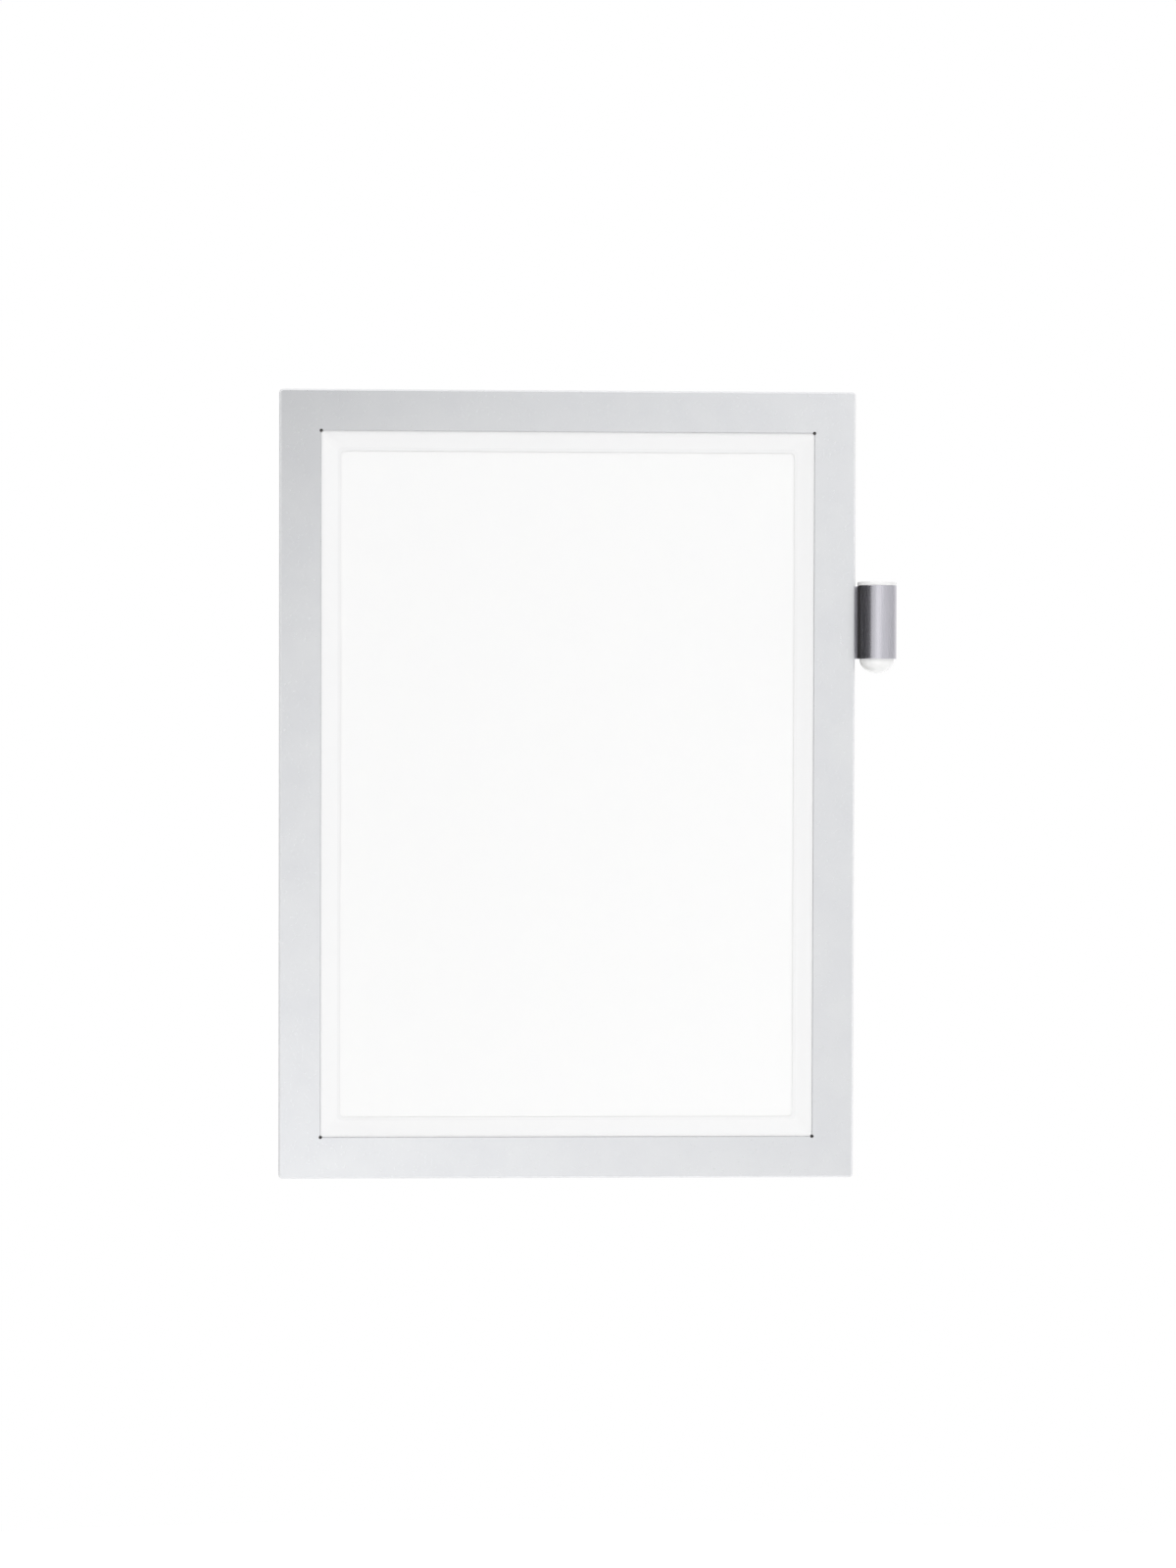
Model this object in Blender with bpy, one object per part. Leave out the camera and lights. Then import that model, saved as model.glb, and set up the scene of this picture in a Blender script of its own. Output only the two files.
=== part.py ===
"""A magnetic document frame for one A4 sheet, with a pen holder at its right edge.

Sizes are in metres, +Z is up and the front faces -Y. The origin is the middle of the rear adhesive face, so the
plane y = 0 is the wall. Depths are measured from the wall towards the viewer, so a depth d lies at y = -d.
"""

import math

import bmesh
import bpy
from mathutils import Matrix, Vector

# The sheet that the frame holds
SHEET_WIDTH = 0.210
SHEET_HEIGHT = 0.297
SHEET_THICKNESS = 0.0002

# Outline seen from the front
SHEET_MARGIN = 0.013  # from the sheet's edge to the frame's outer edge
CORNER_RADIUS = 0.0015  # outer corners
STRIP_WIDTH = 0.017  # silver strip, from the outer edge to the opening
FILM_BORDER = 0.008  # clear border, from the opening to the writing cut-out
FILM_DIP = 0.0009  # how far the clear border bends towards the sheet at its cut-out
CUTOUT_CORNER_RADIUS = 0.002

# Layers, from the wall outwards
ADHESIVE_THICKNESS = 0.0003
PANEL_THICKNESS = 0.0006
REAR_MAGNET_THICKNESS = 0.0007
CLOSURE_GAP = 0.0003  # between the closed halves
FRONT_MAGNET_THICKNESS = 0.0006
FILM_THICKNESS = 0.0002
SKIN_THICKNESS = 0.0006  # face of the silver front
BOND_LINE = 0.0001  # glue between two layers

# Silver front
LIP_THICKNESS = 0.0006  # wall of the turned outer edge
EDGE_RADIUS = 0.0007  # rounding of the outer front edge
OPENING_BEVEL = 0.0003  # chamfer round the opening
OPENING_CORNER_RADIUS = 0.0003
RELIEF_RADIUS = 0.0007  # punched relief at each corner of the opening
PUNCH_OVERRUN = 0.0005  # how far the punch passes both faces

# Magnet strips
LIP_CLEARANCE = 0.0003  # from the lip to what lies inside it
SHEET_CLEARANCE = 0.0005  # from the sheet to what lies round it
BUTT_GAP = 0.0003  # between the ends of two strips

# Hinge film round the left edge
HINGE_THICKNESS = 0.00025
HINGE_LEG_WIDTH = 0.012  # leg bonded behind the rear panel
HINGE_BEND_RADIUS = 0.0003  # middle of the film where it turns the edge
FOLD_OFFSET = 0.00015  # from the film's outer face to the fold's axis

# Pen holder
SLEEVE_RADIUS = 0.0080  # outside of the rolled tube
SLEEVE_WALL = 0.0006
SLEEVE_LENGTH = 0.0300
SLEEVE_DROP = 0.0795  # from the frame's top edge to the tube's top
SLEEVE_SIDE_GAP = 0.0003  # from the frame's right edge to the tube
SEAM_GAP = 0.0003  # from the strip's rolled end to its tongue
CUP_CLEARANCE = 0.0003
CUP_WALL = 0.0012
CUP_FLOOR = 0.0016
CUP_NOSE = 0.0060  # domed nose below the tube
CUP_RIM_HEIGHT = 0.0012

# Faceting
CORNER_STEPS = 4
EDGE_STEPS = 4
BEND_STEPS = 4
DIP_STEPS = 6
RELIEF_STEPS = 16
SLEEVE_STEPS = 44
CUP_STEPS = 40
DOME_STEPS = 6
SHARP_ANGLE = math.radians(40)  # edges steeper than this are shaded sharp
MERGE_DISTANCE = 1e-6

# Places that follow from the sizes above
FRAME_WIDTH = SHEET_WIDTH + 2 * SHEET_MARGIN
FRAME_HEIGHT = SHEET_HEIGHT + 2 * SHEET_MARGIN
HALF_WIDTH = FRAME_WIDTH / 2
HALF_HEIGHT = FRAME_HEIGHT / 2
STRIP_INSET = LIP_THICKNESS + LIP_CLEARANCE

PANEL_BACK = ADHESIVE_THICKNESS + BOND_LINE
PANEL_FRONT = PANEL_BACK + PANEL_THICKNESS
REAR_LAYER = PANEL_FRONT + BOND_LINE
REAR_FRONT = REAR_LAYER + REAR_MAGNET_THICKNESS
FRONT_BACK = REAR_FRONT + CLOSURE_GAP
FILM_BACK = FRONT_BACK + FRONT_MAGNET_THICKNESS + BOND_LINE
FILM_FRONT = FILM_BACK + FILM_THICKNESS
SKIN_BACK = FILM_FRONT + BOND_LINE
SKIN_FRONT = SKIN_BACK + SKIN_THICKNESS

HINGE_AXIS = Vector((-HALF_WIDTH - FOLD_OFFSET, -(REAR_FRONT + FRONT_BACK) / 2, 0))

SLEEVE_TOP = HALF_HEIGHT - SLEEVE_DROP
SLEEVE_BOTTOM = SLEEVE_TOP - SLEEVE_LENGTH
SLEEVE_AXIS_X = HALF_WIDTH + SLEEVE_SIDE_GAP + SLEEVE_RADIUS
SLEEVE_AXIS_DEPTH = REAR_LAYER + SLEEVE_RADIUS

ALL_CORNERS = ((-1, -1), (1, -1), (-1, 1), (1, 1))
TOP_CORNERS = ((-1, 1), (1, 1))
BOTTOM_CORNERS = ((-1, -1), (1, -1))


def clear_scene():
    for old in list(bpy.data.objects):
        bpy.data.objects.remove(old)


def finish(name, colour, roughness, metallic=0.0, alpha=1.0):
    """A Principled material in linear colour."""
    material = bpy.data.materials.new(name)
    material.use_nodes = True
    shader = material.node_tree.nodes["Principled BSDF"]
    shader.inputs["Base Color"].default_value = (*colour, 1.0)
    shader.inputs["Roughness"].default_value = roughness
    shader.inputs["Metallic"].default_value = metallic
    shader.inputs["Alpha"].default_value = alpha
    return material


def empty(name, place):
    holder = bpy.data.objects.new(name, None)
    holder.location = place
    bpy.context.scene.collection.objects.link(holder)
    return holder


def piece(name, shape, material, holder, place=(0, 0, 0)):
    """Turns a bmesh into a named object at a world place, carried by an empty."""
    bmesh.ops.recalc_face_normals(shape, faces=shape.faces)
    mesh = bpy.data.meshes.new(name)
    shape.to_mesh(mesh)
    shape.free()
    mesh.materials.append(material)
    obj = bpy.data.objects.new(name, mesh)
    obj.parent = holder
    obj.location = Vector(place) - holder.location
    bpy.context.scene.collection.objects.link(obj)
    return obj


def outline(shape, width, height, radius, corners=ALL_CORNERS):
    """Adds an upright rectangular face, centred on the origin, with the chosen corners rounded."""
    before = set(shape.faces)
    grid = bmesh.ops.create_grid(shape, x_segments=1, y_segments=1, size=0.5)["verts"]
    bmesh.ops.rotate(shape, verts=grid, cent=(0, 0, 0), matrix=Matrix.Rotation(math.pi / 2, 3, "X"))
    bmesh.ops.scale(shape, verts=grid, vec=(width, 1, height))
    rounded = [v for v in grid if (math.copysign(1, v.co.x), math.copysign(1, v.co.z)) in corners]
    bmesh.ops.bevel(shape, geom=rounded, offset=radius, offset_type="OFFSET", segments=CORNER_STEPS,
                    profile=0.5, affect="VERTICES", material=-1)
    return next(face for face in shape.faces if face not in before)


def plate(name, left, right, bottom, top, back, thickness, material, holder, radius=0, corners=()):
    """A flat piece whose outline has some rounded corners. Its back lies at the depth given."""
    shape = bmesh.new()
    face = outline(shape, right - left, top - bottom, radius, corners)
    grown = bmesh.ops.extrude_face_region(shape, geom=[face])["geom"]
    front = [v for v in grown if isinstance(v, bmesh.types.BMVert)]
    bmesh.ops.translate(shape, verts=front, vec=(0, -thickness, 0))
    return piece(name, shape, material, holder, ((left + right) / 2, -back, (bottom + top) / 2))


def ring(name, profile, material, holder):
    """Sweeps a closed profile round the frame. Each point is an inset from the outer edge, a depth and a radius.

    Every outline lists its points in the same order, so those of neighbouring outlines are joined one by one.
    """
    shape = bmesh.new()
    loops = []
    for inset, depth, radius in profile:
        face = outline(shape, FRAME_WIDTH - 2 * inset, FRAME_HEIGHT - 2 * inset, radius)
        bmesh.ops.translate(shape, verts=face.verts[:], vec=(0, -depth, 0))
        loops.append(face.verts[:])
        bmesh.ops.delete(shape, geom=[face], context="FACES_ONLY")
    for one, other in zip(loops, loops[1:] + loops[:1]):
        for i in range(len(one)):
            shape.faces.new((one[i - 1], one[i], other[i], other[i - 1]))
    return piece(name, shape, material, holder)


def thicken(obj, thickness):
    """Gives a sheet its wall, half on each side."""
    wall = obj.modifiers.new("wall", "SOLIDIFY")
    wall.thickness = thickness
    wall.offset = 0
    wall.use_even_offset = True


def corner_at(inset):
    """Radius of a corner that keeps an even distance to the outer corner."""
    return max(CORNER_RADIUS - inset, OPENING_CORNER_RADIUS)


def magnet_set(side, reach_x, reach_z, back, thickness, material, holder, right_breaks=()):
    """Four strips inside the lip, whose inner edges lie at reach_x and reach_z from the middle."""
    out_x = HALF_WIDTH - STRIP_INSET
    out_z = HALF_HEIGHT - STRIP_INSET
    radius = corner_at(STRIP_INSET)
    layer = (back, thickness, material, holder)
    plate(f"{side}_magnet_top", -out_x, out_x, reach_z, out_z, *layer, radius, TOP_CORNERS)
    plate(f"{side}_magnet_bottom", -out_x, out_x, -out_z, -reach_z, *layer, radius, BOTTOM_CORNERS)
    end = reach_z - BUTT_GAP
    plate(f"{side}_magnet_left", -out_x, -reach_x, -end, end, *layer)
    if right_breaks:
        below, above = right_breaks
        plate(f"{side}_magnet_right_upper", reach_x, out_x, above, end, *layer)
        plate(f"{side}_magnet_right_lower", reach_x, out_x, -end, below, *layer)
    else:
        plate(f"{side}_magnet_right", reach_x, out_x, -end, end, *layer)


def rear_layers(holder):
    clear_glue = finish("clear_adhesive", (0.86, 0.88, 0.88), 0.35, alpha=0.35)
    clear_panel = finish("clear_panel", (0.90, 0.92, 0.93), 0.12, alpha=0.35)
    paper = finish("white_paper", (0.93, 0.93, 0.92), 0.85)
    glue_left = -HALF_WIDTH + HINGE_LEG_WIDTH + BUTT_GAP
    plate("rear_adhesive", glue_left, HALF_WIDTH, -HALF_HEIGHT, HALF_HEIGHT, 0, ADHESIVE_THICKNESS,
          clear_glue, holder, CORNER_RADIUS, ALL_CORNERS)
    panel_left = -HALF_WIDTH + HINGE_THICKNESS + BOND_LINE
    plate("rear_panel", panel_left, HALF_WIDTH, -HALF_HEIGHT, HALF_HEIGHT, PANEL_BACK, PANEL_THICKNESS,
          clear_panel, holder, CORNER_RADIUS, ALL_CORNERS)
    plate("document_sheet", -SHEET_WIDTH / 2, SHEET_WIDTH / 2, -SHEET_HEIGHT / 2, SHEET_HEIGHT / 2,
          REAR_LAYER, SHEET_THICKNESS, paper, holder)


def hinge_leaf(holder):
    """Film that lies behind the panel, turns its left edge and ends at the fold."""
    silver_film = finish("silver_hinge_film", (0.62, 0.63, 0.65), 0.45, 0.6)
    half = HINGE_THICKNESS / 2
    back = PANEL_BACK - BOND_LINE - half
    length = FRAME_HEIGHT - 2 * CORNER_RADIUS
    shape = bmesh.new()
    route = ((HINGE_LEG_WIDTH, back), (half, back), (half, REAR_FRONT))
    points = [shape.verts.new((x, -depth, 0)) for x, depth in route]
    for start, stop in zip(points, points[1:]):
        shape.edges.new((start, stop))
    bmesh.ops.bevel(shape, geom=[points[1]], offset=HINGE_BEND_RADIUS, offset_type="OFFSET",
                    segments=BEND_STEPS, profile=0.5, affect="VERTICES", material=-1)
    grown = bmesh.ops.extrude_edge_only(shape, edges=shape.edges[:])["geom"]
    top = [v for v in grown if isinstance(v, bmesh.types.BMVert)]
    bmesh.ops.translate(shape, verts=top, vec=(0, 0, length))
    leaf = piece("hinge_leaf", shape, silver_film, holder, (-HALF_WIDTH, 0, -length / 2))
    thicken(leaf, HINGE_THICKNESS)


def pen_sleeve(holder):
    """One strip of sheet metal: a flat tongue on the panel, rolled into a tube beside the frame."""
    steel = finish("brushed_steel", (0.55, 0.55, 0.57), 0.32, 1.0)
    middle = SLEEVE_RADIUS - SLEEVE_WALL / 2
    tongue_length = SLEEVE_AXIS_X - SHEET_WIDTH / 2 - SHEET_CLEARANCE
    seam = math.acos((SLEEVE_RADIUS - SLEEVE_WALL - SEAM_GAP) / SLEEVE_RADIUS)
    shape = bmesh.new()
    low = shape.verts.new((-tongue_length, middle, 0))
    high = shape.verts.new((-tongue_length, middle, SLEEVE_LENGTH))
    start = shape.edges.new((low, high))
    grown = bmesh.ops.extrude_edge_only(shape, edges=[start])["geom"]
    turn = [item for item in grown if not isinstance(item, bmesh.types.BMFace)]
    turn_points = [item for item in turn if isinstance(item, bmesh.types.BMVert)]
    bmesh.ops.translate(shape, verts=turn_points, vec=(tongue_length, 0, 0))
    bmesh.ops.spin(shape, geom=turn, cent=(0, 0, 0), axis=(0, 0, -1), angle=2 * math.pi - seam,
                   steps=SLEEVE_STEPS, use_merge=False)
    sleeve = piece("pen_sleeve", shape, steel, holder, (SLEEVE_AXIS_X, -SLEEVE_AXIS_DEPTH, SLEEVE_BOTTOM))
    thicken(sleeve, SLEEVE_WALL)


def quarter(radius, depth):
    """A quarter ellipse from its lowest point on the axis up to its rim."""
    angles = [math.pi / 2 * step / DOME_STEPS for step in range(DOME_STEPS + 1)]
    return [(radius * math.sin(a), -depth * math.cos(a)) for a in angles]


def pen_cup(holder):
    """Turned insert of the tube: domed nose, straight wall and a rim that sits on the tube's top."""
    frosted = finish("frosted_plastic", (0.86, 0.87, 0.87), 0.25, alpha=0.75)
    outside = SLEEVE_RADIUS - SLEEVE_WALL - CUP_CLEARANCE
    inside = outside - CUP_WALL
    seat = SLEEVE_LENGTH + CUP_CLEARANCE
    rim_top = seat + CUP_RIM_HEIGHT
    outer = quarter(outside, CUP_NOSE) + [(outside, seat), (SLEEVE_RADIUS, seat), (SLEEVE_RADIUS, rim_top)]
    inner = [(inside, rim_top)] + quarter(inside, CUP_NOSE - CUP_FLOOR)[::-1]
    shape = bmesh.new()
    points = [shape.verts.new((x, 0, z)) for x, z in outer + inner]
    for start, stop in zip(points, points[1:]):
        shape.edges.new((start, stop))
    bmesh.ops.spin(shape, geom=shape.verts[:] + shape.edges[:], cent=(0, 0, 0), axis=(0, 0, 1),
                   angle=2 * math.pi, steps=CUP_STEPS, use_merge=True)
    bmesh.ops.remove_doubles(shape, verts=shape.verts, dist=MERGE_DISTANCE)
    cup = piece("pen_cup", shape, frosted, holder, (SLEEVE_AXIS_X, -SLEEVE_AXIS_DEPTH, SLEEVE_BOTTOM))
    cup.data.shade_smooth()
    cup.data.set_sharp_from_angle(angle=SHARP_ANGLE)


def relief_cutter():
    """Four punches, one at each corner of the opening."""
    shape = bmesh.new()
    for side, end in ALL_CORNERS:
        middle = -(SKIN_BACK + SKIN_FRONT) / 2
        centre = (side * (HALF_WIDTH - STRIP_WIDTH), middle, end * (HALF_HEIGHT - STRIP_WIDTH))
        turned = Matrix.Translation(centre) @ Matrix.Rotation(math.pi / 2, 4, "X")
        bmesh.ops.create_cone(shape, cap_ends=True, segments=RELIEF_STEPS, radius1=RELIEF_RADIUS,
                              radius2=RELIEF_RADIUS, depth=SKIN_THICKNESS + 2 * PUNCH_OVERRUN, matrix=turned)
    mesh = bpy.data.meshes.new("relief_cutter")
    shape.to_mesh(mesh)
    shape.free()
    cutter = bpy.data.objects.new("relief_cutter", mesh)
    cutter.hide_render = True
    cutter.display_type = "WIRE"
    bpy.context.scene.collection.objects.link(cutter)
    return cutter


def front_frame(holder):
    """Silver face with a rounded outer edge, a turned lip and punched corners at its opening."""
    silver = finish("satin_silver", (0.66, 0.67, 0.69), 0.42, 0.75)
    turns = [math.pi / 2 * step / EDGE_STEPS for step in range(EDGE_STEPS + 1)]
    rounding = [(EDGE_RADIUS * (1 - math.cos(a)), SKIN_FRONT - EDGE_RADIUS * (1 - math.sin(a))) for a in turns]
    section = [(0, FRONT_BACK)] + rounding + [
        (STRIP_WIDTH - OPENING_BEVEL, SKIN_FRONT),
        (STRIP_WIDTH, SKIN_FRONT - OPENING_BEVEL),
        (STRIP_WIDTH, SKIN_BACK),
        (LIP_THICKNESS, SKIN_BACK),
        (LIP_THICKNESS, FRONT_BACK),
    ]
    frame = ring("front_frame", [(*point, corner_at(point[0])) for point in section], silver, holder)
    punch = frame.modifiers.new("corner_reliefs", "BOOLEAN")
    punch.operation = "DIFFERENCE"
    punch.object = relief_cutter()


def window_film(holder):
    """Clear border between the silver front and its magnets. It bends down to the sheet and is cut out for writing."""
    clear_film = finish("clear_film", (0.90, 0.91, 0.92), 0.08, alpha=0.3)
    route = [(STRIP_INSET, 0, corner_at(STRIP_INSET))]
    for step in range(DIP_STEPS + 1):
        share = step / DIP_STEPS
        corner = OPENING_CORNER_RADIUS + share * (CUTOUT_CORNER_RADIUS - OPENING_CORNER_RADIUS)
        route.append((STRIP_WIDTH + share * FILM_BORDER, FILM_DIP * share * share * (3 - 2 * share), corner))
    front = [(inset, FILM_FRONT - dip, corner) for inset, dip, corner in route]
    back = [(inset, FILM_BACK - dip, corner) for inset, dip, corner in route]
    ring("window_film", front + back[::-1], clear_film, holder)


def main():
    clear_scene()
    magnet = finish("flexible_magnet", (0.035, 0.033, 0.032), 0.6)
    rear = empty("rear_half", (0, 0, 0))
    rear_layers(rear)
    hinge_leaf(rear)
    magnet_set("rear", SHEET_WIDTH / 2 + SHEET_CLEARANCE, SHEET_HEIGHT / 2 + SHEET_CLEARANCE, REAR_LAYER,
               REAR_MAGNET_THICKNESS, magnet, rear,
               (SLEEVE_BOTTOM - BUTT_GAP, SLEEVE_TOP + BUTT_GAP))
    pen_sleeve(rear)
    pen_cup(rear)
    front = empty("front_half", HINGE_AXIS)
    front_frame(front)
    window_film(front)
    magnet_set("front", HALF_WIDTH - STRIP_WIDTH, HALF_HEIGHT - STRIP_WIDTH, FRONT_BACK,
               FRONT_MAGNET_THICKNESS, magnet, front)


main()
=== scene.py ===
"""Looks of the magnetic document frame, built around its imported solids.

Metres, +Z up, the front faces -Y and the wall is the plane y = 0. A depth is measured from the wall towards the
viewer, so a depth d lies at y = -d.
"""

import math

import bmesh
import bpy
from mathutils import Matrix, Vector


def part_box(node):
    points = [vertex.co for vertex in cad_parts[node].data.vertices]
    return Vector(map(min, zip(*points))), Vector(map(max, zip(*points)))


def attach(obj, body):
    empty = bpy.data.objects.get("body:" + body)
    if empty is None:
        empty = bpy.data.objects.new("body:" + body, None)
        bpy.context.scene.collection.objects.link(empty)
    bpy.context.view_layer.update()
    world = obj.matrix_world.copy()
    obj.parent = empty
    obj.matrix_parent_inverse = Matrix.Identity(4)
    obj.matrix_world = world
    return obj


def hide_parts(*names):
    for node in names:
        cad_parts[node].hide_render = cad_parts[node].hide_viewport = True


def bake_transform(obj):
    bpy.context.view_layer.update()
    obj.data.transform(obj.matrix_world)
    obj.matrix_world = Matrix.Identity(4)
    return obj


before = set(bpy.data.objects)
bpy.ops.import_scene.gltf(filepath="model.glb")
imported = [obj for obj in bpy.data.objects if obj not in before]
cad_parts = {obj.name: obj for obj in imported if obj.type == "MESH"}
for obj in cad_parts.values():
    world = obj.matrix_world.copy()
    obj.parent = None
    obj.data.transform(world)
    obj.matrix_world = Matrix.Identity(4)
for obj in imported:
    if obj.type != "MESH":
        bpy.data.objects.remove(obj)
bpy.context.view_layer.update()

MM = 0.001
TOLERANCE = 0.001 * MM  # points that are closer than this are one point
SHARP_ANGLE = math.radians(40)  # steeper edges stay sharp in the shading
ROUNDED_ANGLE = math.radians(50)  # steeper edges of the pen holder are rounded
UPRIGHT = Matrix.Rotation(math.pi / 2, 3, "X")  # stands a flat shape up to face the front
SIDEWAYS = Matrix.Rotation(math.pi / 2, 3, "Y")  # stands a flat shape up to face the side

# Silver front
CORNER_RADIUS = 1.5 * MM
EDGE_RADIUS = 0.7 * MM
EDGE_STEPS = 8
CORNER_STEPS = 8
STRIP_WIDTH = 17 * MM
SKIN_THICKNESS = 0.6 * MM
LIP_THICKNESS = 0.6 * MM
OPENING_BEVEL = 0.25 * MM
OPENING_STEPS = 4
RELIEF_RADIUS = 0.7 * MM
RELIEF_STEPS = 32

# Border film
FILM_BORDER = 8 * MM
FILM_THICKNESS = 0.2 * MM
FILM_RIM = 1.4 * MM
FILM_STEPS = 12
FILM_SAG = 0.35 * MM  # of the soft film, below its solid
CUTOUT_CORNER_RADIUS = 2 * MM

# Sheet of paper
PAPER_THICKNESS = 0.12 * MM
PAPER_WAVE = 0.12 * MM
PAPER_COLUMNS, PAPER_ROWS = 36, 50

# Pen holder
SLEEVE_RADIUS = 8 * MM
SLEEVE_WALL = 0.6 * MM
SLEEVE_EDGE = 0.2 * MM
SLEEVE_STEPS = 120
SEAM_GAP = 0.3 * MM
CUP_CLEARANCE = 0.3 * MM
CUP_WALL = 1.2 * MM
CUP_FLOOR = 1.6 * MM
CUP_NOSE = 6 * MM
CUP_EDGE = 0.35 * MM
CUP_STEPS = 96
NOSE_STEPS = 16

# Film across the fold
WEB_THICKNESS = 0.08 * MM
WEB_STANDOFF = 0.04 * MM
WEB_REAR_LAP = 0.9 * MM
WEB_FRONT_LAP = 0.35 * MM
WEB_STEPS = 24

# Floor
FLOOR_RADIUS = 5
FLOOR_STEPS = 96
FLOOR_HEIGHT = -1.4
FLOOR_LIFT = 0.35  # brings the floor's own tone up to the white of the background

# Camera: a little left of the frame's middle and a little above it, as the outline's slight taper shows
CAMERA_PLACE = (-0.0587, -1.5198, 0.0301)
CAMERA_YAW = math.radians(-2.53)
CAMERA_PITCH = math.radians(-1.12)
CAMERA_ROLL = math.radians(0.16)
LENS = 85  # millimetres
SENSOR = 36  # millimetres, along the image's height


def linear(colour):
    """An sRGB hex colour as linear RGBA."""
    parts = [int(colour[i:i + 2], 16) / 255 for i in (1, 3, 5)]
    return (*[c / 12.92 if c <= 0.04045 else ((c + 0.055) / 1.055) ** 2.4 for c in parts], 1.0)


def add(tree, kind, inputs=None, **settings):
    """Adds a node, gives it its settings, and sets or links its inputs."""
    made = tree.nodes.new(kind)
    for name, value in settings.items():
        setattr(made, name, value)
    for name, value in (inputs or {}).items():
        if isinstance(value, bpy.types.NodeSocket):
            tree.links.new(value, made.inputs[name])
        else:
            made.inputs[name].default_value = value
    return made


def new_material(name):
    """A material with a Principled shader, its node tree and its Object coordinates."""
    material = bpy.data.materials.new(name)
    material.use_nodes = True
    tree = material.node_tree
    place = add(tree, "ShaderNodeTexCoord").outputs["Object"]
    return material, tree, tree.nodes["Principled BSDF"], place


# The real grain, coat, dust and brushing are too fine to show, so they are drawn as coarse as they need to show.


def satin_silver():
    """Silver lacquer on a calendered plastic sheet: a soft metallic sheen with a very fine, even grain."""
    material, tree, shader, place = new_material("satin_silver_lacquer")
    grain = add(tree, "ShaderNodeTexNoise", {"Vector": place, "Scale": 1 / (0.9 * MM), "Detail": 3.0})
    cloud = add(tree, "ShaderNodeTexNoise", {"Vector": place, "Scale": 1 / (14 * MM), "Detail": 2.0})
    tone = add(tree, "ShaderNodeMix", {"Factor": cloud.outputs["Fac"], "A": linear("#CACBCE"),
                                       "B": linear("#D2D3D4")}, data_type="RGBA")
    tree.links.new(tone.outputs["Result"], shader.inputs["Base Color"])
    gloss = add(tree, "ShaderNodeMapRange", {"Value": grain.outputs["Fac"], "From Min": 0.3, "From Max": 0.7,
                                             "To Min": 0.27, "To Max": 0.35})
    tree.links.new(gloss.outputs["Result"], shader.inputs["Roughness"])
    bump = add(tree, "ShaderNodeBump", {"Height": grain.outputs["Fac"], "Strength": 0.06, "Distance": 0.05 * MM})
    tree.links.new(bump.outputs["Normal"], shader.inputs["Normal"])
    shader.inputs["Metallic"].default_value = 1.0
    return material


def silver_edge(name, dark, light, metallic):
    """The same lacquer where the sheet is rolled over, matter; the bend's paler colour is a painted highlight."""
    material, tree, shader, place = new_material(name)
    grain = add(tree, "ShaderNodeTexNoise", {"Vector": place, "Scale": 1 / (0.9 * MM), "Detail": 3.0})
    tone = add(tree, "ShaderNodeMix", {"Factor": grain.outputs["Fac"], "A": linear(dark), "B": linear(light)},
               data_type="RGBA")
    tree.links.new(tone.outputs["Result"], shader.inputs["Base Color"])
    shader.inputs["Metallic"].default_value = metallic
    shader.inputs["Roughness"].default_value = 0.5
    return material


def grey_core_and_shade():
    """Die-cut edge of the front: grey plastic under the lacquer, matt, a little rough, and darker as painted shade."""
    material, tree, shader, place = new_material("die_cut_grey_core_and_painted_shade")
    grain = add(tree, "ShaderNodeTexNoise", {"Vector": place, "Scale": 1 / (0.5 * MM), "Detail": 3.0})
    tone = add(tree, "ShaderNodeMix", {"Factor": grain.outputs["Fac"], "A": linear("#C0C1C4"),
                                       "B": linear("#CBCCCE")}, data_type="RGBA")
    tree.links.new(tone.outputs["Result"], shader.inputs["Base Color"])
    shader.inputs["Roughness"].default_value = 0.65
    return material


def clear_sheet(name, tint, roughness, ripple, haze, veil):
    """Calendered plastic sheet: clear under a thin matt haze, slightly rippled, and it mirrors more at a flat angle."""
    material, tree, shader, place = new_material(name)
    tree.nodes.remove(shader)
    wave = add(tree, "ShaderNodeTexNoise", {"Vector": place, "Scale": 1 / (18 * MM), "Detail": 1.0})
    bump = add(tree, "ShaderNodeBump", {"Height": wave.outputs["Fac"], "Strength": ripple, "Distance": 0.1 * MM})
    speck = add(tree, "ShaderNodeTexNoise", {"Vector": place, "Scale": 1 / (2.5 * MM), "Detail": 2.0})
    gloss = add(tree, "ShaderNodeMapRange", {"Value": speck.outputs["Fac"], "To Min": 0.6 * roughness,
                                             "To Max": 1.4 * roughness})
    mirror = add(tree, "ShaderNodeBsdfGlossy", {"Color": (1, 1, 1, 1), "Roughness": gloss.outputs["Result"],
                                                "Normal": bump.outputs["Normal"]})
    clear = add(tree, "ShaderNodeBsdfTransparent", {"Color": linear(tint)})
    matt = add(tree, "ShaderNodeBsdfDiffuse", {"Color": linear(veil)})
    body = add(tree, "ShaderNodeMixShader", {0: haze, 1: clear.outputs["BSDF"], 2: matt.outputs["BSDF"]})
    # It mirrors about a fiftieth of the light head-on and all of it at a flat angle, rising with the fifth power.
    flat = add(tree, "ShaderNodeLayerWeight", {"Blend": 0.5}).outputs["Facing"]
    steep = add(tree, "ShaderNodeMath", {0: flat, 1: 5.0}, operation="POWER").outputs[0]
    share = add(tree, "ShaderNodeMapRange", {"Value": steep, "To Min": 0.018, "To Max": 1.0}).outputs["Result"]
    both = add(tree, "ShaderNodeMixShader", {0: share, 1: body.outputs["Shader"], 2: mirror.outputs["BSDF"]})
    tree.links.new(both.outputs["Shader"], tree.nodes["Material Output"].inputs["Surface"])
    return material


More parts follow.
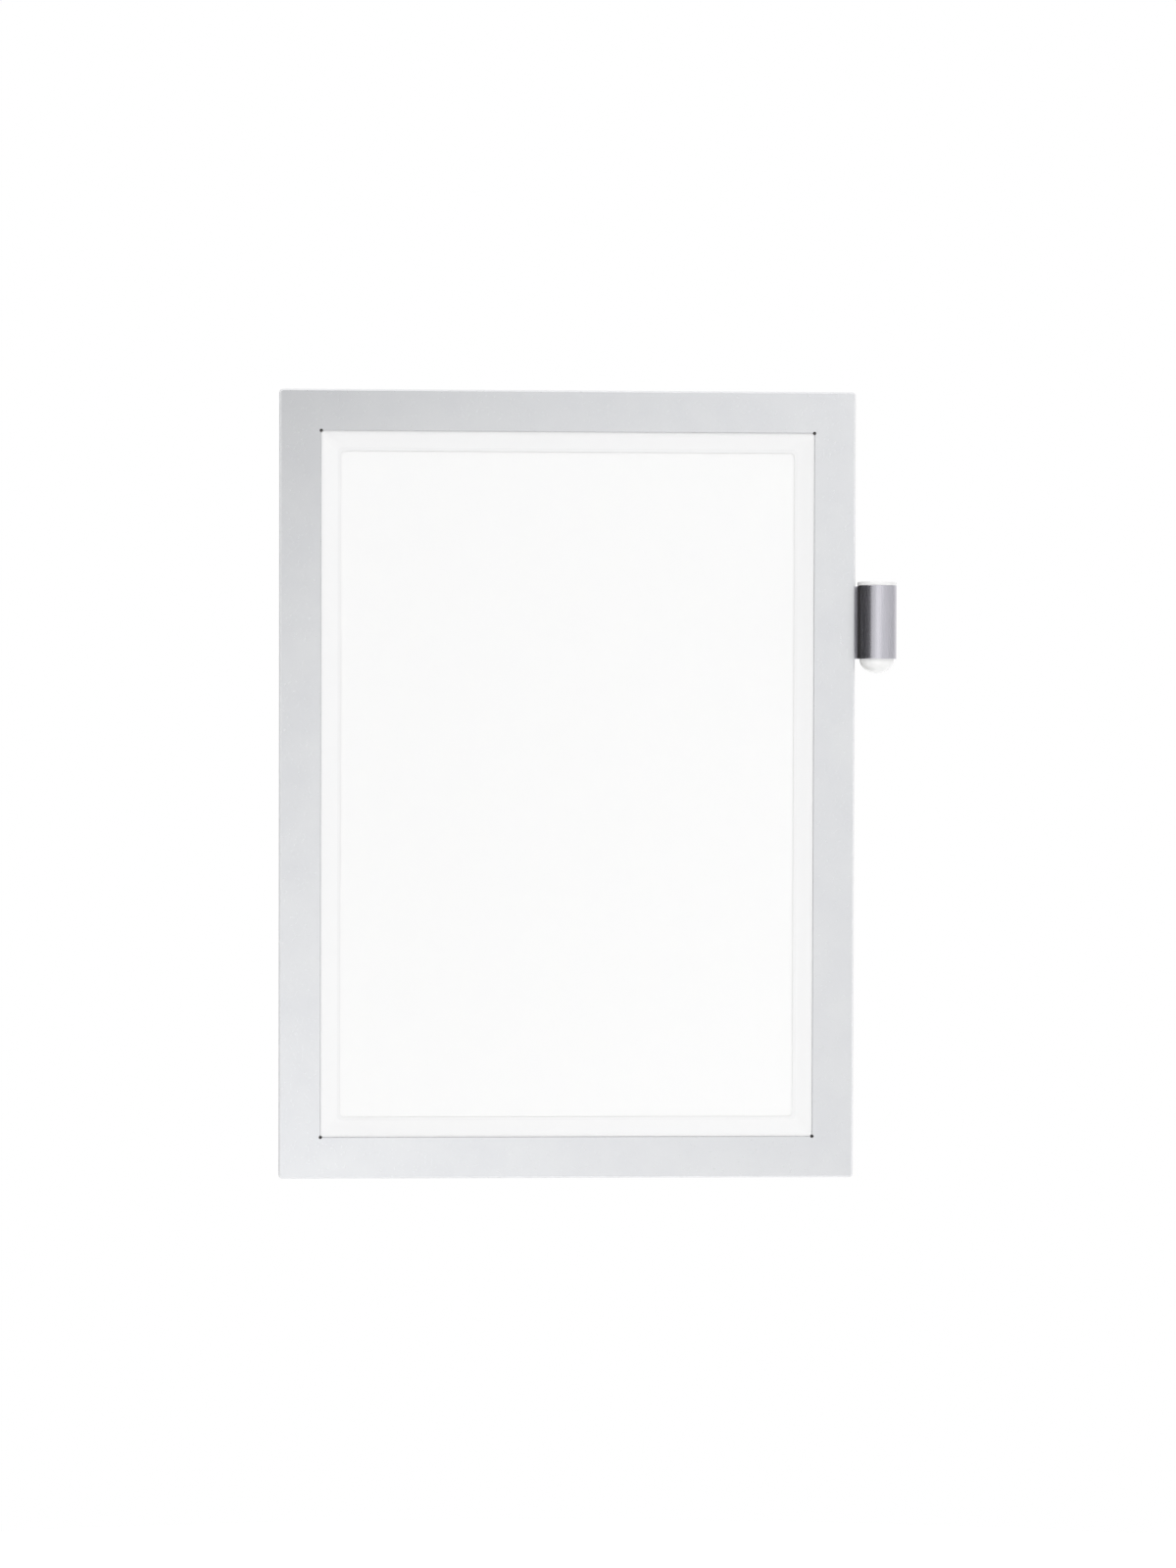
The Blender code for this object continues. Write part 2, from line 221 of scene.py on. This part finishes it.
def matt_film(name, colour, cover):
    """Film with a fine matt coat on its face to write on: milky over the white sheet, without a clear highlight."""
    material, tree, shader, place = new_material(name)
    coat = add(tree, "ShaderNodeTexNoise", {"Vector": place, "Scale": 1 / (0.6 * MM), "Detail": 3.0})
    gloss = add(tree, "ShaderNodeMapRange", {"Value": coat.outputs["Fac"], "To Min": 0.38, "To Max": 0.5})
    tree.links.new(gloss.outputs["Result"], shader.inputs["Roughness"])
    wave = add(tree, "ShaderNodeTexNoise", {"Vector": place, "Scale": 1 / (18 * MM), "Detail": 1.0})
    bump = add(tree, "ShaderNodeBump", {"Height": wave.outputs["Fac"], "Strength": 0.05, "Distance": 0.1 * MM})
    tree.links.new(bump.outputs["Normal"], shader.inputs["Normal"])
    shader.inputs["Base Color"].default_value = linear(colour)
    shader.inputs["IOR"].default_value = 1.57
    shader.inputs["Alpha"].default_value = cover
    return material


def white_paper():
    """Uncoated office paper: matt white, with short fibres that show as a very faint cloud."""
    material, tree, shader, place = new_material("uncoated_office_paper")
    fibre = add(tree, "ShaderNodeTexNoise", {"Vector": place, "Scale": 1 / (0.8 * MM), "Detail": 4.0})
    cloud = add(tree, "ShaderNodeTexNoise", {"Vector": place, "Scale": 1 / (9 * MM), "Detail": 3.0})
    tone = add(tree, "ShaderNodeMix", {"Factor": cloud.outputs["Fac"], "A": linear("#FAFAFA"),
                                       "B": linear("#FCFCFB")}, data_type="RGBA")
    tree.links.new(tone.outputs["Result"], shader.inputs["Base Color"])
    bump = add(tree, "ShaderNodeBump", {"Height": fibre.outputs["Fac"], "Strength": 0.08, "Distance": 0.02 * MM})
    tree.links.new(bump.outputs["Normal"], shader.inputs["Normal"])
    shader.inputs["Roughness"].default_value = 0.9
    shader.inputs["Specular IOR Level"].default_value = 0.2
    return material


def magnet_strip():
    """Flexible ferrite magnet, rolled from rubber and powder: matt black-brown, with a fine pale dust in it."""
    material, tree, shader, place = new_material("calendered_ferrite_magnet")
    dust = add(tree, "ShaderNodeTexNoise", {"Vector": place, "Scale": 1 / (0.7 * MM), "Detail": 4.0})
    tone = add(tree, "ShaderNodeMix", {"Factor": dust.outputs["Fac"], "A": linear("#282624"),
                                       "B": linear("#3B3836")}, data_type="RGBA")
    tree.links.new(tone.outputs["Result"], shader.inputs["Base Color"])
    bump = add(tree, "ShaderNodeBump", {"Height": dust.outputs["Fac"], "Strength": 0.15, "Distance": 0.05 * MM})
    tree.links.new(bump.outputs["Normal"], shader.inputs["Normal"])
    shader.inputs["Roughness"].default_value = 0.62
    return material


def brushed_steel():
    """Thin stainless strip with a fine brushing along the tube, so that highlights spread round it."""
    material, tree, shader, place = new_material("brushed_stainless_strip")
    stretched = add(tree, "ShaderNodeMapping", {"Vector": place, "Scale": (1.0, 1.0, 0.004)})
    lines = add(tree, "ShaderNodeTexNoise", {"Vector": stretched.outputs["Vector"], "Scale": 1 / (0.25 * MM),
                                             "Detail": 3.0})
    tone = add(tree, "ShaderNodeMix", {"Factor": lines.outputs["Fac"], "A": linear("#C0BFC5"),
                                       "B": linear("#CBCAD1")}, data_type="RGBA")
    tree.links.new(tone.outputs["Result"], shader.inputs["Base Color"])
    gloss = add(tree, "ShaderNodeMapRange", {"Value": lines.outputs["Fac"], "From Min": 0.3, "From Max": 0.7,
                                             "To Min": 0.26, "To Max": 0.3})
    tree.links.new(gloss.outputs["Result"], shader.inputs["Roughness"])
    shader.inputs["Metallic"].default_value = 1.0
    return material


def frosted_plastic():
    """Natural moulded polypropylene: milky white, with a little light through its wall and a soft gloss."""
    material, tree, shader, place = new_material("natural_polypropylene")
    flow = add(tree, "ShaderNodeTexNoise", {"Vector": place, "Scale": 1 / (3 * MM), "Detail": 2.0})
    gloss = add(tree, "ShaderNodeMapRange", {"Value": flow.outputs["Fac"], "To Min": 0.12, "To Max": 0.22})
    tree.links.new(gloss.outputs["Result"], shader.inputs["Roughness"])
    shader.inputs["Base Color"].default_value = linear("#FCFCFB")
    shader.inputs["Transmission Weight"].default_value = 0.08
    shader.inputs["IOR"].default_value = 1.49
    shader.inputs["Coat Weight"].default_value = 0.6
    shader.inputs["Coat Roughness"].default_value = 0.15
    return material


def finished(name, shape, materials, replaces=()):
    """Turns a bmesh into an object at the origin, with its materials and the nodes that it stands for."""
    bmesh.ops.recalc_face_normals(shape, faces=shape.faces[:])
    mesh = bpy.data.meshes.new(name)
    shape.to_mesh(mesh)
    shape.free()
    for material in materials:
        mesh.materials.append(material)
    obj = bpy.data.objects.new(name, mesh)
    bpy.context.scene.collection.objects.link(obj)
    if replaces:
        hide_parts(*replaces)
    return obj


def smooth(obj):
    """Shades a piece smooth between its sharp edges, with flat faces kept flat."""
    obj.data.shade_smooth()
    obj.data.set_sharp_from_angle(angle=SHARP_ANGLE)
    even = obj.modifiers.new("even_shading", "WEIGHTED_NORMAL")
    even.keep_sharp = True


def soften(obj, radius, segments):
    """Rounds a piece's steep edges."""
    edge = obj.modifiers.new("rounded_edges", "BEVEL")
    edge.width = radius
    edge.segments = segments
    edge.limit_method = "ANGLE"
    edge.angle_limit = ROUNDED_ANGLE


def carve(obj, shape):
    """Cuts a shape out of a piece and keeps the result as the piece's mesh.

    The cut faces get the material index that the shape's faces have.
    """
    bmesh.ops.recalc_face_normals(shape, faces=shape.faces[:])
    mesh = bpy.data.meshes.new("cutter")
    shape.to_mesh(mesh)
    shape.free()
    cutter = bpy.data.objects.new("cutter", mesh)
    bpy.context.scene.collection.objects.link(cutter)
    cut = obj.modifiers.new("cut", "BOOLEAN")
    cut.object = cutter
    cut.operation = "DIFFERENCE"
    graph = bpy.context.evaluated_depsgraph_get()
    old = obj.data
    obj.data = bpy.data.meshes.new_from_object(obj.evaluated_get(graph))
    obj.modifiers.remove(cut)
    bpy.data.objects.remove(cutter)
    bpy.data.meshes.remove(mesh)
    name = old.name
    bpy.data.meshes.remove(old)
    obj.data.name = name


def upright_grid(width, height, columns=1, rows=1):
    """A rectangle that stands upright in the plane y = 0 and faces the front."""
    shape = bmesh.new()
    bmesh.ops.create_grid(shape, x_segments=columns, y_segments=rows, size=0.5)
    bmesh.ops.scale(shape, verts=shape.verts, vec=(width, height, 1))
    bmesh.ops.rotate(shape, verts=shape.verts, cent=(0, 0, 0), matrix=UPRIGHT)
    return shape


def round_corners(shape, radius):
    """Rounds the corners of a flat shape."""
    bmesh.ops.bevel(shape, geom=shape.verts[:], offset=radius, offset_type="OFFSET", segments=CORNER_STEPS,
                    profile=0.5, affect="VERTICES", material=-1)


def grow(shape, offset):
    """Extrudes all faces of a flat shape by an offset."""
    grown = bmesh.ops.extrude_face_region(shape, geom=shape.faces[:])["geom"]
    bmesh.ops.translate(shape, verts=[v for v in grown if isinstance(v, bmesh.types.BMVert)], vec=offset)


def plate(width, height, depth, thickness, corner=0.0):
    """A flat plate whose front lies at a depth, with rounded corners where a radius is given."""
    shape = upright_grid(width, height)
    if corner:
        round_corners(shape, corner)
    bmesh.ops.translate(shape, verts=shape.verts, vec=(0, -depth, 0))
    grow(shape, (0, thickness, 0))
    bmesh.ops.recalc_face_normals(shape, faces=shape.faces[:])
    return shape


def flared_punch(width, height, depth, thickness, flare):
    """A punch for a rectangular hole whose rim is rounded where it meets a front that lies at a depth."""
    shape = plate(width, height, depth - flare, thickness - flare)
    mouth = [face for face in shape.faces if face.normal.y < -0.5]
    turns = [math.pi / 2 * step / OPENING_STEPS for step in range(OPENING_STEPS + 1)]
    moves = [(math.cos(a) - math.cos(b), math.sin(b) - math.sin(a)) for a, b in zip(turns, turns[1:])]
    clear_of_front = (0, 1)
    for wider, further in moves + [clear_of_front]:
        mouth = bmesh.ops.extrude_discrete_faces(shape, faces=mouth)["faces"]
        for vert in mouth[0].verts:
            vert.co += Vector((math.copysign(wider, vert.co.x), -further, math.copysign(wider, vert.co.z))) * flare
    bmesh.ops.recalc_face_normals(shape, faces=shape.faces[:])
    return shape


def corner_punches():
    """Four round punches, one through each corner of the opening, that reach as far as the magnets."""
    low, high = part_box("front_frame")
    depth = 2 * (SKIN_THICKNESS + 2 * FILM_THICKNESS)
    shape = bmesh.new()
    for x in (low.x + STRIP_WIDTH, high.x - STRIP_WIDTH):
        for z in (low.z + STRIP_WIDTH, high.z - STRIP_WIDTH):
            place = Matrix.Translation((x, low.y, z)) @ UPRIGHT.to_4x4()
            bmesh.ops.create_cone(shape, cap_ends=True, segments=RELIEF_STEPS, radius1=RELIEF_RADIUS,
                                  radius2=RELIEF_RADIUS, depth=depth, matrix=place)
    return shape


def make_silver_front(silver, bend, lip, core_and_shade):
    """The front: a plate with a rolled outer edge, a turned lip behind it, and a punched relief at each corner."""
    low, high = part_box("front_frame")
    width, height, thickness = high.x - low.x, high.z - low.z, high.y - low.y
    front = -low.y
    shape = plate(width, height, front, thickness, CORNER_RADIUS)
    rim = [edge for edge in shape.edges if all(vert.co.y + front < TOLERANCE for vert in edge.verts)]
    bmesh.ops.bevel(shape, geom=rim, offset=EDGE_RADIUS, offset_type="OFFSET", segments=EDGE_STEPS, profile=0.5,
                    affect="EDGES", material=-1)
    materials = [silver, bend, lip, core_and_shade]
    for face in shape.faces:
        behind = face.calc_center_median().y + front
        # The rounded outer edge gets the bend's pale colour, a painted highlight where the edge catches the light.
        finish = lip if behind > EDGE_RADIUS else bend if behind > TOLERANCE else silver
        face.material_index = materials.index(finish)
    obj = finished("silver_front", shape, materials, ["front_frame"])

    carve(obj, plate(width - 2 * LIP_THICKNESS, height - 2 * LIP_THICKNESS, front - SKIN_THICKNESS, thickness))
    punch = flared_punch(width - 2 * STRIP_WIDTH, height - 2 * STRIP_WIDTH, front, 2 * thickness, OPENING_BEVEL)
    # The opening's cut faces get the darker grey, a painted shade for the shadow line along the opening.
    for face in punch.faces:
        face.material_index = materials.index(core_and_shade)
    carve(obj, punch)
    carve(obj, corner_punches())
    smooth(obj)
    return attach(obj, "front")


def make_window_film(film, matt, rim):
    """The border film: it bends down to the sheet, and its die-cut writing cut-out has a narrow rim in painted shade.
    """
    low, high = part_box("window_film")
    inset = low.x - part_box("front_frame")[0].x
    dip = high.y - low.y - FILM_THICKNESS + FILM_SAG

    # The film's section, as places inwards from its outer edge and backwards from its front, with a smooth step.
    front = [(0, 0)]
    for step in range(FILM_STEPS + 1):
        share = step / FILM_STEPS
        front.append((STRIP_WIDTH - inset + share * FILM_BORDER, dip * share * share * (3 - 2 * share)))
    back = [(inwards, drop + FILM_THICKNESS) for inwards, drop in front[::-1]]
    section = front + back + front[:1]
    rim_start = front[-1][0] - FILM_RIM

    # The outline is led along the section, all the way round and back to its start.
    shape = upright_grid(high.x - low.x, high.z - low.z)
    round_corners(shape, CUTOUT_CORNER_RADIUS)
    bmesh.ops.translate(shape, verts=shape.verts, vec=(0, low.y, 0))
    outline = shape.edges[:]
    bmesh.ops.delete(shape, geom=shape.faces[:], context="FACES_ONLY")
    # The cut edge and the back have the rim's finish, a painted shade, and only the punched corners show the film's
    # clear body.
    materials = [film, matt, rim]
    for place, (one, other) in enumerate(zip(section, section[1:])):
        on_front = place < len(front) - 1
        finish = matt if on_front and one[0] <= rim_start else rim
        grown = bmesh.ops.extrude_edge_only(shape, edges=outline)["geom"]
        outline = [item for item in grown if isinstance(item, bmesh.types.BMEdge)]
        inwards, drop = other[0] - one[0], other[1] - one[1]
        for item in grown:
            if isinstance(item, bmesh.types.BMVert):
                item.co += Vector((-math.copysign(inwards, item.co.x * inwards), drop,
                                   -math.copysign(inwards, item.co.z * inwards)))
            elif isinstance(item, bmesh.types.BMFace):
                item.material_index = materials.index(finish)
    bmesh.ops.remove_doubles(shape, verts=shape.verts, dist=TOLERANCE)
    obj = finished("window_border", shape, materials, ["window_film"])
    carve(obj, corner_punches())
    smooth(obj)
    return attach(obj, "front")


def make_paper(paper):
    """The blank sheet, which lies on the panel with a slight natural wave."""
    low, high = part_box("document_sheet")
    width, height = high.x - low.x, high.z - low.z
    shape = upright_grid(width, height, PAPER_COLUMNS, PAPER_ROWS)
    for vert in shape.verts:
        x, z = vert.co.x / width, vert.co.z / height
        # Two slanting waves that cross, each about one period long over the sheet.
        wave = math.sin(5.1 * x + 2.3 * z + 0.7) * math.sin(6.7 * z - 1.9 * x + 0.4)
        vert.co.y = high.y - PAPER_THICKNESS / 2 - PAPER_WAVE * (0.5 + 0.5 * wave)
    grow(shape, (0, -PAPER_THICKNESS, 0))
    obj = finished("paper_sheet", shape, [paper], ["document_sheet"])
    smooth(obj)
    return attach(obj, "rear")


def make_sleeve(steel):
    """The rolled metal strip: its tongue lies on the panel and its tube stands beside the frame."""
    low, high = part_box("pen_sleeve")
    axis_x, axis_y = high.x - SLEEVE_RADIUS, low.y + SLEEVE_RADIUS
    tongue_y = axis_y + (SLEEVE_RADIUS - SLEEVE_WALL / 2)
    seam = math.acos((SLEEVE_RADIUS - SLEEVE_WALL - SEAM_GAP) / SLEEVE_RADIUS)
    shape = bmesh.new()
    foot = shape.verts.new((low.x, tongue_y, low.z))
    head = shape.verts.new((low.x, tongue_y, high.z))
    start = shape.edges.new((foot, head))
    grown = bmesh.ops.extrude_edge_only(shape, edges=[start])["geom"]
    turn = [item for item in grown if not isinstance(item, bmesh.types.BMFace)]
    bmesh.ops.translate(shape, verts=[v for v in turn if isinstance(v, bmesh.types.BMVert)],
                        vec=(axis_x - low.x, 0, 0))
    bmesh.ops.spin(shape, geom=turn, cent=(axis_x, axis_y, 0), axis=(0, 0, -1), angle=2 * math.pi - seam,
                   steps=SLEEVE_STEPS, use_merge=False)
    obj = finished("steel_sleeve", shape, [steel], ["pen_sleeve"])
    wall = obj.modifiers.new("wall", "SOLIDIFY")
    wall.thickness = SLEEVE_WALL
    wall.offset = 0
    soften(obj, SLEEVE_EDGE, segments=3)
    smooth(obj)
    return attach(obj, "rear")


def quarter(radius, depth):
    """Points of a quarter ellipse from its lowest point on the axis up to its rim."""
    angles = [math.pi / 2 * step / NOSE_STEPS for step in range(NOSE_STEPS + 1)]
    return [(radius * math.sin(a), -depth * math.cos(a)) for a in angles]


def make_cup(plastic):
    """The moulded insert of the tube: a domed nose below, a straight wall and a rim on top."""
    low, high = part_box("pen_cup")
    sleeve_low, sleeve_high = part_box("pen_sleeve")
    axis_x, axis_y = (low.x + high.x) / 2, (low.y + high.y) / 2
    outside = SLEEVE_RADIUS - SLEEVE_WALL - CUP_CLEARANCE
    inside = outside - CUP_WALL
    bottom, seat, top = sleeve_low.z, sleeve_high.z, high.z
    outer = [(x, bottom + z) for x, z in quarter(outside, CUP_NOSE)]
    outer += [(outside, seat), (SLEEVE_RADIUS, seat), (SLEEVE_RADIUS, top)]
    inner = [(x, bottom + z) for x, z in quarter(inside, CUP_NOSE - CUP_FLOOR)]
    shape = bmesh.new()
    points = [shape.verts.new((axis_x + x, axis_y, z)) for x, z in outer + [(inside, top)] + inner[::-1]]
    for start, stop in zip(points, points[1:]):
        shape.edges.new((start, stop))
    bmesh.ops.spin(shape, geom=shape.verts[:] + shape.edges[:], cent=(axis_x, axis_y, 0), axis=(0, 0, 1),
                   angle=2 * math.pi, steps=CUP_STEPS, use_merge=True)
    bmesh.ops.remove_doubles(shape, verts=shape.verts, dist=TOLERANCE)
    obj = finished("moulded_cup", shape, [plastic], ["pen_cup"])
    soften(obj, CUP_EDGE, segments=4)
    smooth(obj)
    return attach(obj, "rear")


def make_hinge_web(silver):
    """The thin film that joins the halves across the fold."""
    leaf_low, leaf_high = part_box("hinge_leaf")
    rear_end, front_end = -leaf_low.y, -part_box("front_frame")[1].y
    start, stop = rear_end - WEB_REAR_LAP, front_end + WEB_FRONT_LAP
    shape = bmesh.new()
    bmesh.ops.create_grid(shape, x_segments=1, y_segments=WEB_STEPS, size=0.5)
    bmesh.ops.scale(shape, verts=shape.verts, vec=(leaf_high.z - leaf_low.z, stop - start, 1))
    bmesh.ops.rotate(shape, verts=shape.verts, cent=(0, 0, 0), matrix=SIDEWAYS)
    bmesh.ops.translate(shape, verts=shape.verts, vec=(leaf_low.x - WEB_STANDOFF, -(start + stop) / 2, 0))
    grow(shape, (-WEB_THICKNESS, 0, 0))
    obj = finished("hinge_web", shape, [silver])
    smooth(obj)
    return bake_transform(obj)


def dress(material, *names):
    """Gives CAD nodes that stay as they are a finished material."""
    for name in names:
        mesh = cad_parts[name].data
        mesh.materials.clear()
        mesh.materials.append(material)


def make_object():
    """Replaces the nodes that need a finer shape, adds the fold's film, and dresses the other nodes."""
    silver = satin_silver()
    # The bend's pale colour is a painted highlight along the rounded outer edge.
    bend = silver_edge("satin_silver_bend_painted_highlight", dark="#E9EAEC", light="#F0F1F2", metallic=0.05)
    lip = silver_edge("satin_silver_rolled_lip", dark="#CACBCE", light="#D2D3D4", metallic=0.25)
    front = make_silver_front(silver, bend, lip, grey_core_and_shade())

    film = clear_sheet("clear_pet_film", tint="#FFFFFF", roughness=0.12, ripple=0.05, haze=0.0, veil="#FCFCFC")
    matt = matt_film("matt_pet_film", colour="#FAFAFA", cover=0.95)
    # The rim's slightly darker colour is a painted shadow along the writing cut-out's edge.
    rim = matt_film("matt_pet_cut_rim_painted_shade", colour="#F8F8F8", cover=0.94)
    border = make_window_film(film, matt, rim)

    sheet = make_paper(white_paper())
    make_sleeve(brushed_steel())
    cup = make_cup(frosted_plastic())
    for piece in (front, border, sheet, cup):
        # The tube mirrors the dark studio on its left, and not the bright pieces that stand beside it.
        piece.visible_glossy = False
    make_hinge_web(silver)

    dress(magnet_strip(), *[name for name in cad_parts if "_magnet_" in name])
    dress(silver, "hinge_leaf")
    dress(clear_sheet("clear_pvc_panel", tint="#FEFEFE", roughness=0.1, ripple=0.12, haze=0.02, veil="#F2F3F4"),
          "rear_panel")
    dress(clear_sheet("clear_acrylic_adhesive", tint="#FEFEFE", roughness=0.3, ripple=0.2, haze=0.035,
                      veil="#F2F2F0"), "rear_adhesive")


def staged(name, shape, material):
    """Turns a bmesh into a part of the studio."""
    mesh = bpy.data.meshes.new(name)
    shape.to_mesh(mesh)
    shape.free()
    mesh.materials.append(material)
    obj = bpy.data.objects.new(name, mesh)
    bpy.context.scene.collection.objects.link(obj)
    return obj


def make_card(name, width, height, place, turn, colour):
    """A studio card, dark or white, that light and reflections meet and the camera doesn't see."""
    shape = bmesh.new()
    bmesh.ops.create_grid(shape, x_segments=1, y_segments=1, size=0.5)
    bmesh.ops.scale(shape, verts=shape.verts, vec=(width, height, 1))
    bmesh.ops.rotate(shape, verts=shape.verts, cent=(0, 0, 0), matrix=turn)
    bmesh.ops.translate(shape, verts=shape.verts, vec=place)
    material = bpy.data.materials.new(name)
    material.use_nodes = True
    shader = material.node_tree.nodes["Principled BSDF"]
    shader.inputs["Base Color"].default_value = linear(colour)
    shader.inputs["Roughness"].default_value = 1.0
    shader.inputs["Specular IOR Level"].default_value = 0.0
    staged(name, shape, material).visible_camera = False


def make_floor():
    """A pale studio floor below the object, white where nothing shades it."""
    shape = bmesh.new()
    bmesh.ops.create_circle(shape, cap_ends=True, segments=FLOOR_STEPS, radius=FLOOR_RADIUS)
    bmesh.ops.translate(shape, verts=shape.verts, vec=(0, 0, FLOOR_HEIGHT))
    material = bpy.data.materials.new("pale_floor")
    material.use_nodes = True
    tree = material.node_tree
    tree.nodes.clear()
    diffuse = add(tree, "ShaderNodeBsdfDiffuse", {"Color": linear("#F4F4F4")})
    # The lift is seen directly, in mirrors and through clear pieces, and doesn't light matt surfaces.
    path = add(tree, "ShaderNodeLightPath")
    seen = path.outputs["Is Camera Ray"]
    for name in ("Is Glossy Ray", "Is Transmission Ray"):
        seen = add(tree, "ShaderNodeMath", {0: seen, 1: path.outputs[name]}, operation="MAXIMUM").outputs[0]
    lift = add(tree, "ShaderNodeMapRange", {"Value": seen, "To Min": 0.0, "To Max": FLOOR_LIFT}).outputs["Result"]
    glow = add(tree, "ShaderNodeEmission", {"Strength": lift})
    both = add(tree, "ShaderNodeAddShader", {0: diffuse.outputs["BSDF"], 1: glow.outputs["Emission"]})
    add(tree, "ShaderNodeOutputMaterial", {"Surface": both.outputs["Shader"]})
    staged("floor", shape, material)


def make_world():
    """An even white studio all round."""
    world = bpy.data.worlds.new("white_studio")
    world.use_nodes = True
    world.cycles.sampling_method = "NONE"
    background = world.node_tree.nodes["Background"]
    background.inputs["Color"].default_value = (1, 1, 1, 1)
    background.inputs["Strength"].default_value = 1.0
    bpy.context.scene.world = world


def make_lamp(name, place, aim, width, height, radiance):
    """A softbox of an even brightness, where 1 is as bright as the white background."""
    data = bpy.data.lights.new(name, "AREA")
    data.shape = "RECTANGLE"
    data.size, data.size_y = width, height
    data.energy = radiance * math.pi * width * height
    lamp = bpy.data.objects.new(name, data)
    lamp.location = place
    lamp.rotation_euler = (Vector(aim) - Vector(place)).to_track_quat("-Z", "Y").to_euler()
    bpy.context.scene.collection.objects.link(lamp)


def make_camera():
    """Almost straight on, so far away that the frame has its size in the photograph."""
    data = bpy.data.cameras.new("camera")
    data.lens = LENS
    data.sensor_width = SENSOR
    turn = (Matrix.Rotation(CAMERA_YAW, 3, "Z") @ Matrix.Rotation(math.pi / 2 + CAMERA_PITCH, 3, "X")
            @ Matrix.Rotation(CAMERA_ROLL, 3, "Z"))
    camera = bpy.data.objects.new("camera", data)
    camera.location = CAMERA_PLACE
    camera.rotation_euler = turn.to_euler()
    bpy.context.scene.collection.objects.link(camera)
    bpy.context.scene.camera = camera


def make_studio():
    """A white studio. Its dark cards give the tube its dark side and the silver its fall-off to the upper left."""
    make_world()
    make_floor()
    make_card("left_flag_front", width=0.9, height=1.1, place=(-0.95, -0.67, 0.1), turn=SIDEWAYS, colour="#464649")
    make_card("left_flag_back", width=1.9, height=2.2, place=(-0.95, 0.98, 0.2), turn=SIDEWAYS, colour="#0C0C0D")
    make_card("upper_flag", width=0.9, height=0.9, place=(-0.635, -1.45, 0.75), turn=UPRIGHT, colour="#1C1C1E")
    make_card("right_card", width=1.3, height=3.8, place=(1.05, -1.4, 0.25), turn=SIDEWAYS, colour="#FDFDFE")
    make_lamp("upper_left_softbox", place=(-0.837, -0.998, 1.093), aim=(0, 0, 0), width=1.0, height=1.0,
              radiance=1.32)
    make_lamp("low_fill", place=(0, -0.867, -0.677), aim=(0, 0, 0), width=1.2, height=0.3, radiance=1.15)
    make_lamp("low_left_softbox", place=(-0.285, -1.62, -0.45), aim=(-0.285, 0, -0.45), width=0.5, height=0.4,
              radiance=0.68)
    make_lamp("front_fill", place=(0.065, -1.62, -0.03), aim=(0.065, 0, -0.03), width=0.6, height=0.6, radiance=0.36)
    make_lamp("upper_right_fill", place=(0.665, -1.62, 0.57), aim=(0.665, 0, 0.57), width=0.6, height=0.6,
              radiance=0.94)
    bpy.context.scene.view_settings.view_transform = "Standard"


make_object()
make_studio()
make_camera()
